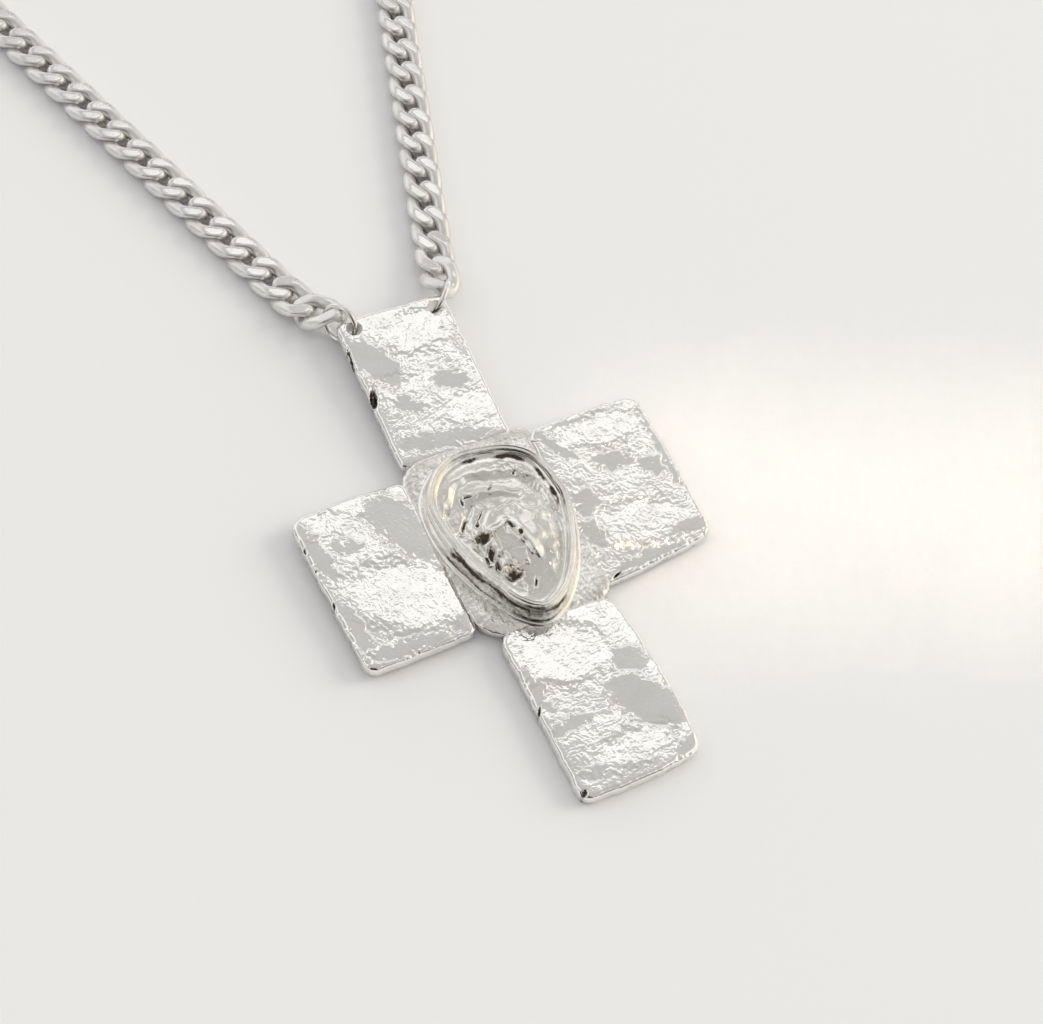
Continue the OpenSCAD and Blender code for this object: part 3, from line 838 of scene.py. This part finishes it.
def turned(points, rx, ry, rz):
    """Points turned about X, then Y, then Z."""
    x, y, z = points[..., 0], points[..., 1], points[..., 2]
    y, z = swung(y, z, rx)
    z, x = swung(z, x, ry)
    x, y = swung(x, y, rz)
    return np.stack([x, y, z], axis=-1)


def as_laid(points):
    """From the bench's plan to the frame, for pieces that lie level: millimetres to metres."""
    return (np.asarray(points) - (MIDDLE[0], MIDDLE[1], 0)) / 1000


def two_turns(around, across):
    """A grid of turns: all the way round a ring, and all the way round its wire."""
    turns = [np.linspace(0, 2 * np.pi, count, endpoint=False) for count in (around, across)]
    return np.meshgrid(*turns, indexing="ij")


def wire_ring(r, wire, around, across):
    """A closed ring of round wire in the XY plane, as a grid of points."""
    a, b = two_turns(around, across)
    far = r + wire / 2 * np.cos(b)
    return np.stack([far * np.cos(a), far * np.sin(a), wire / 2 * np.sin(b)], axis=-1)


def closed_faces(around, across, first=0):
    """Faces of a grid of points that closes both ways."""
    return grid_faces(np.pad(numbered(around, across, first), (0, 1), "wrap"))


POLISHED = silver("polished_silver", (0.92, 0.91, 0.89), (0.85, 0.84, 0.81), 0.0003, 1.0, 0.16, 0.26, 0.00001)
ring_faces = closed_faces(RING_AROUND, RING_ACROSS)
ring_middles = []
for side, name in enumerate(("ring_left", "ring_right")):
    way = np.array([math.cos(RING_TURN[side]), math.sin(RING_TURN[side])])
    middle = np.array(HOLES[side]) + (RING_R - RING_SHIFT) * way
    ring_middles.append((middle, way))
    points = wire_ring(RING_R, RING_WIRE, RING_AROUND, RING_ACROSS)
    points = turned(points, math.pi / 2 + RING_LEAN, 0, RING_TURN[side]) + (*middle, RING_Z)
    new_piece(name, as_laid(points.reshape(-1, 3)), ring_faces, POLISHED, name)

# The curb chain
# Each strand is a row of oval wire links, twisted and then filed flat above and below, so that they lie flat.
# The wire's round sides are satin, and the filed faces are smoother.
LINKS = 66
PITCH = 3.3
# A link's wire line before the twist: half its length, half its width, and how square its oval is.
LINK_A = 2.345
LINK_B = 1.34
SQUARE = 2.5
WIRE_R = 0.7
# The twist grows from the link's middle to its ends by this power.
TWIST = math.radians(60)
TWIST_GROWTH = 1.6
# Half the thickness over the filed faces, and how softly they meet the round wire.
FLAT_HALF = 0.88
FLAT_EDGE = 0.03
LINK_AROUND, LINK_ACROSS = 44, 14
# The way a strand takes, left and right: where it starts, how long it runs straight, how wide it then turns.
STRAND_ANGLE = math.radians(17.7)
RUN_START = [(-7.85, 33.2), (7.39, 32.91)]
STRAIGHT = [132.1, 132.667]
ARC_R = [42.0807, 41.7789]
# The first link hangs from its ring at this turn round it and this far from the ring's middle.
HANG = [math.radians(66), math.radians(46)]
LINK_REACH = 0.84
# Heading from +Y, rise and roll in degrees of the first two links. The second is still held up a little.
FIRST_POSE = [(-41.5, 22.5, -1.5), (16.5, 20.5, -8.5)]
SECOND_POSE = [(-19.7, 7, -3), (16.5, 6.5, 0)]
SECOND_LIFT = [0.33, 0.28]
# The last link is held up at its far end by the clasp's loop.
LAST_RISE = 4
LAST_LIFT = 0.18


def one_link():
    """A link about its own middle with its length along X, as a grid of points."""
    a, b = two_turns(LINK_AROUND, LINK_ACROSS)

    def power(v, p):
        return np.sign(v) * np.abs(v) ** p

    c, s = power(np.cos(a), 2 / SQUARE), power(np.sin(a), 2 / SQUARE)
    out_x, out_y = power(c, SQUARE - 1) / LINK_A, power(s, SQUARE - 1) / LINK_B
    size = np.hypot(out_x, out_y)
    x = LINK_A * c + WIRE_R * np.cos(b) * out_x / size
    y = LINK_B * s + WIRE_R * np.cos(b) * out_y / size
    z = WIRE_R * np.sin(b)
    y, z = swung(y, z, -TWIST * power(c, TWIST_GROWTH))
    over = np.maximum(np.abs(z) - (FLAT_HALF - FLAT_EDGE), 0)
    filed = FLAT_HALF - FLAT_EDGE + FLAT_EDGE * np.tanh(over / FLAT_EDGE)
    return np.stack([x, y, np.where(over > 0, np.sign(z) * filed, z)], axis=-1)


def link_places(side):
    """Middle, heading from +Y, rise and roll of every link of a strand."""
    outward = -1 if side == 0 else 1
    middle, way = ring_middles[side]
    left = np.array([-way[1], way[0]])
    hang = HANG[side]
    tip = middle + LINK_REACH * (math.cos(hang) * way - math.sin(hang) * math.sin(RING_LEAN) * left)
    tip_z = RING_Z + LINK_REACH * math.sin(hang) * math.cos(RING_LEAN)
    heading, rise, roll = FIRST_POSE[side]
    h, up = math.radians(heading), math.radians(rise)
    level = LINK_A * math.cos(up)
    first = (tip[0] + level * math.sin(h), tip[1] + level * math.cos(h), tip_z - LINK_A * math.sin(up))
    start_x, start_y = RUN_START[side]
    second = (start_x, start_y, FLAT_HALF + SECOND_LIFT[side])
    places = [(first, heading, rise, roll), (second, *SECOND_POSE[side])]
    straight, r = STRAIGHT[side], ARC_R[side]
    for i in range(2, LINKS):
        s = (i - 1) * PITCH
        run, h = min(s, straight), STRAND_ANGLE - max(0, s - straight) / r
        x = abs(start_x) + run * math.sin(STRAND_ANGLE) + r * (math.cos(h) - math.cos(STRAND_ANGLE))
        y = start_y + run * math.cos(STRAND_ANGLE) + r * (math.sin(STRAND_ANGLE) - math.sin(h))
        lift, rise = (LAST_LIFT, -LAST_RISE) if i == LINKS - 1 else (0, 0)
        places.append(((outward * x, y, FLAT_HALF + lift), outward * math.degrees(h), rise, 0))
    return places


SATIN = silver("satin_silver", (0.87, 0.86, 0.84), (0.8, 0.79, 0.77), 0.0002, 1.0, 0.34, 0.44, 0.00001)
# The filed faces look straight up, and the file left them smoother than the wire's round sides.
FILED_FROM, FILED_TO = 0.96, 0.995
FILED_ROUGHNESS = 0.45
satin_tree = SATIN.node_tree
surface = satin_tree.nodes.new("ShaderNodeNewGeometry")
upward = new_node(satin_tree, "SeparateXYZ", {0: surface.outputs["Normal"]}).outputs["Z"]
filing = {"From Min": FILED_FROM, "From Max": FILED_TO, "To Min": 1.0, "To Max": FILED_ROUGHNESS}
smoother = new_node(satin_tree, "MapRange", {**filing, "Value": upward}).outputs["Result"]
rough_socket = satin_tree.nodes["Principled BSDF"].inputs["Roughness"]
smoothed = reckoned(satin_tree, "MULTIPLY", rough_socket.links[0].from_socket, smoother)
satin_tree.links.new(smoothed, rough_socket)

link = one_link()
for side, name in enumerate(("chain_left", "chain_right")):
    points, faces = [], []
    for n, (spot, heading, rise, roll) in enumerate(link_places(side)):
        laid = turned(link, math.radians(roll), math.radians(rise), math.radians(90 - heading)) + spot
        # No link sinks into the table.
        laid = laid + (0, 0, max(0, -laid[..., 2].min()))
        points.append(laid.reshape(-1, 3))
        faces += closed_faces(LINK_AROUND, LINK_ACROSS, n * LINK_AROUND * LINK_ACROSS)
    new_piece(name, as_laid(np.concatenate(points)), faces, SATIN, name)

# The clasp
# A plain barrel screws shut round the far end of the chain, with two fine grooves turned in it.
# A wire loop at each end holds the last link.
CLASP_Y = 213.85
CLASP_TURN = math.radians(-0.517)
BARREL_R = 1.5
# Half of the barrel from its middle seam to its end: along, radius.
BARREL = [
    (0.0, 1.36), (0.1, 1.42), (0.2, BARREL_R), (2.9, BARREL_R), (3.0, 1.42), (3.12, 1.42), (3.22, BARREL_R),
    (4.1, BARREL_R), (4.36, 1.42), (4.5, 1.2), (4.5, 0.0),
]
BARREL_AROUND = 64
LOOP_X = 5.5
LOOP_R = 1.3
LOOP_WIRE = 0.65
# Each loop leans out from upright by this many degrees.
LOOP_LEAN = 32
LOOP_AROUND, LOOP_ACROSS = 48, 16


def barrel_mesh(around):
    """The barrel about its own middle, its length along X."""
    half = np.array(BARREL)
    profile = np.concatenate([half[::-1] * (-1, 1), half[1:]])
    turn = np.linspace(0, 2 * np.pi, around, endpoint=False)
    rows = [np.stack([np.full(around, x), r * np.cos(turn), r * np.sin(turn)], 1) for x, r in profile[1:-1]]
    points = np.concatenate(rows + [[[profile[0][0], 0, 0], [profile[-1][0], 0, 0]]])
    faces = band_faces(len(rows), around)
    end, last = len(rows) * around, (len(rows) - 1) * around
    faces += [(end, (k + 1) % around, k) for k in range(around)]
    faces += [(end + 1, last + k, last + (k + 1) % around) for k in range(around)]
    return points, [face[::-1] for face in faces]


points, faces = barrel_mesh(BARREL_AROUND)
for x in (-LOOP_X, LOOP_X):
    lean = math.radians(90 + math.copysign(LOOP_LEAN, x))
    loop = turned(wire_ring(LOOP_R, LOOP_WIRE, LOOP_AROUND, LOOP_ACROSS), lean, 0, 0) + (x, 0, 0)
    faces += closed_faces(LOOP_AROUND, LOOP_ACROSS, len(points))
    points = np.concatenate([points, loop.reshape(-1, 3)])
points = turned(points, 0, 0, CLASP_TURN) + (0, CLASP_Y, BARREL_R)
new_piece("clasp", as_laid(points), faces, POLISHED, "clasp")

# Surface, lights and camera
# The necklace lies on a matt white board under one large soft window, with a pale room all round it.
# Low sun comes from the right, through a thin curtain and as one streak beside it.
BOARD_HALF = 2
BOARD_COLOUR = (0.96, 0.965, 0.975, 1)
BOARD_ROUGHNESS = 0.75
corners = [(x * BOARD_HALF, y * BOARD_HALF, 0) for x, y in ((-1, -1), (1, -1), (1, 1), (-1, 1))]
board_mesh = new_mesh("white_board", corners, [(0, 1, 2, 3)])
paint = bpy.data.materials.new("white_board")
paint.use_nodes = True
matt = {"Base Color": BOARD_COLOUR, "Roughness": BOARD_ROUGHNESS}
fill(paint.node_tree, paint.node_tree.nodes["Principled BSDF"], matt)
board_mesh.materials.append(paint)
floor = placed("white_board", board_mesh)

room = bpy.data.worlds.new("pale_room")
room.use_nodes = True
bpy.context.scene.world = room
room_tree = room.node_tree
look = room_tree.nodes.new("ShaderNodeTexCoord").outputs["Generated"]


def raised(x, y, angle):
    """A level way, raised by an angle."""
    return x * math.cos(angle), y * math.cos(angle), math.sin(angle)


def glow(base, way, start, stop, colour):
    """Blend the room's colour towards another one in a soft round patch that lies the given way."""
    size = math.sqrt(sum(v * v for v in way))
    dot = room_tree.nodes.new("ShaderNodeVectorMath")
    dot.operation = "DOT_PRODUCT"
    fill(room_tree, dot, {0: look, 1: [v / size for v in way]})
    edge = {"From Min": math.cos(math.radians(stop)), "From Max": math.cos(math.radians(start))}
    share = new_node(room_tree, "MapRange", {**edge, "Value": dot.outputs["Value"]})
    share.interpolation_type = "SMOOTHSTEP"
    return mixed(room_tree, share.outputs["Result"], base, (*colour, 1))


ROOM_COLOUR = (1.03, 1.03, 1.03, 1)
CEILING = raised(*LIGHT_WAY, math.radians(66))
# A mid-grey ceiling, a darker patch overhead, warm light low on the right and its bright middle, a dark
# patch low in front, and two grey ones: the way it lies, degrees to its full part and to its end, colour.
GLOWS = [
    (CEILING, 34, 54, (0.59, 0.585, 0.57)),
    ((-0.25, -0.36, 0.9), 26, 46, (0.5, 0.49, 0.475)),
    ((0.9, -0.3, 0.3), 16, 40, (1.05, 0.97, 0.8)),
    ((0.87, -0.14, 0.48), 9, 17, (1.5, 1.38, 1.12)),
    ((-0.62, -0.74, 0.22), 26, 44, (0.045, 0.038, 0.034)),
    ((-0.9, 0.36, 0.22), 12, 28, (0.45, 0.44, 0.42)),
    ((0.3, -0.87, 0.38), 8, 22, (0.3, 0.29, 0.28)),
]
shade = ROOM_COLOUR
for patch in GLOWS:
    shade = glow(shade, *patch)
room_tree.links.new(shade, room_tree.nodes["Background"].inputs["Color"])


def lamp(name, shape, width, height, colour, energy):
    """A flat lamp that shines along its own -Z."""
    data = bpy.data.lights.new(name, "AREA")
    data.shape = shape
    data.size, data.size_y = width, height
    data.color = colour
    data.energy = energy
    return placed(name, data)


def standing(right, up, back, place):
    """The matrix of a thing at a place, with its own X, Y and Z along the three ways."""
    return Matrix([[right[k], up[k], back[k], place[k]] for k in range(3)] + [[0, 0, 0, 1]])


# The place on the table that the window and the sun face.
CENTRE = Vector((0.0028, -0.0917, 0.0))
# The window seen from there: how high its lower and upper edges stand and half its width, in degrees.
WINDOW_LOW, WINDOW_HIGH = 44, 64
WINDOW_HALF_WIDTH = 16
WINDOW_FAR = 3.0
WINDOW_POWER_PER_AREA = 1.56
rise = math.radians((WINDOW_LOW + WINDOW_HIGH) / 2)
window_way = Vector(raised(*LIGHT_WAY, rise)).normalized()
window_side = window_way.cross(Vector((0, 0, 1))).normalized()
width = 2 * WINDOW_FAR * math.tan(math.radians(WINDOW_HALF_WIDTH))
height = 2 * WINDOW_FAR * math.tan(math.radians(WINDOW_HIGH - WINDOW_LOW) / 2)
power = WINDOW_POWER_PER_AREA * width * height
window = lamp("window", "RECTANGLE", width, height, (1.0, 0.995, 0.98), power)
place = CENTRE + window_way * WINDOW_FAR
window.matrix_world = standing(-window_side, window_side.cross(window_way), window_way, place)

# Late sun from the right through a thin curtain throws a soft shadow to the left. The warm patch in the room
# already gives the silver its glints, so the sun itself isn't mirrored.
SUN_WAY = Vector((0.87, -0.14, 0.48)).normalized()
SUN_SIZE, SUN_FAR = 1.1, 2
SUN_RADIANCE = 4.4
power = SUN_RADIANCE * math.pi**2 * (SUN_SIZE / 2) ** 2
sun = lamp("curtain_sun", "DISK", SUN_SIZE, SUN_SIZE, (1.0, 0.96, 0.88), power)
sun.visible_glossy = False
facing = SUN_WAY.to_track_quat("Z", "Y").to_matrix().to_4x4()
sun.matrix_world = Matrix.Translation(CENTRE + SUN_WAY * SUN_FAR) @ facing

# White walls and a white table send light down from all round, so the shadows stay faint.
FILL_SIZE, FILL_HEIGHT, FILL_POWER = 2.0, 1.5, 2.2
room_fill = lamp("room_fill", "SQUARE", FILL_SIZE, FILL_SIZE, (1, 1, 1), FILL_POWER)
room_fill.location = (0, 0, FILL_HEIGHT)
room_fill.visible_glossy = False

# A streak of the same sun falls on the board beside the right arm.
STREAK_LENGTH, STREAK_WIDTH, STREAK_POWER = 0.08, 0.026, 0.0018
STREAK_SPREAD, STREAK_TURN = math.radians(2.6), math.radians(-23)
STREAK_PLACE = (0.04835, -0.1096, 0.5)
streak = lamp("sun_streak", "RECTANGLE", STREAK_LENGTH, STREAK_WIDTH, (1.0, 0.8, 0.55), STREAK_POWER)
streak.data.spread = STREAK_SPREAD
streak.location = STREAK_PLACE
streak.rotation_euler = (0, 0, STREAK_TURN)

# The camera looks down at the cross from its left, turned a little. Its lens is as long as the photograph's,
# which is known in the photograph's own pixels.
CAMERA_AZIMUTH, CAMERA_HEIGHT, CAMERA_ROLL = map(math.radians, (-34.57, 58.71, 9.86))
CAMERA_DISTANCE = 0.1934
LOOK_AT = np.array([2.67 - MIDDLE[0], 3.04 - MIDDLE[1], 0]) / 1000
PHOTO_WIDTH, PHOTO_FOCAL = 1043, 2047
SENSOR_WIDTH = 36
camera_data = bpy.data.cameras.new("camera")
camera_data.sensor_width = SENSOR_WIDTH
camera_data.lens = SENSOR_WIDTH * PHOTO_FOCAL / PHOTO_WIDTH
camera_data.clip_start = 0.01
camera = placed("camera", camera_data)
bpy.context.scene.camera = camera
back = np.array(raised(math.sin(CAMERA_AZIMUTH), -math.cos(CAMERA_AZIMUTH), CAMERA_HEIGHT))
level = np.cross(-back, (0, 0, 1))
level /= np.linalg.norm(level)
upright = np.cross(level, -back)
upward, across = swung(upright, level, CAMERA_ROLL)
camera.matrix_world = standing(across, upward, back, LOOK_AT + back * CAMERA_DISTANCE)

bpy.context.scene.view_settings.view_transform = "Standard"
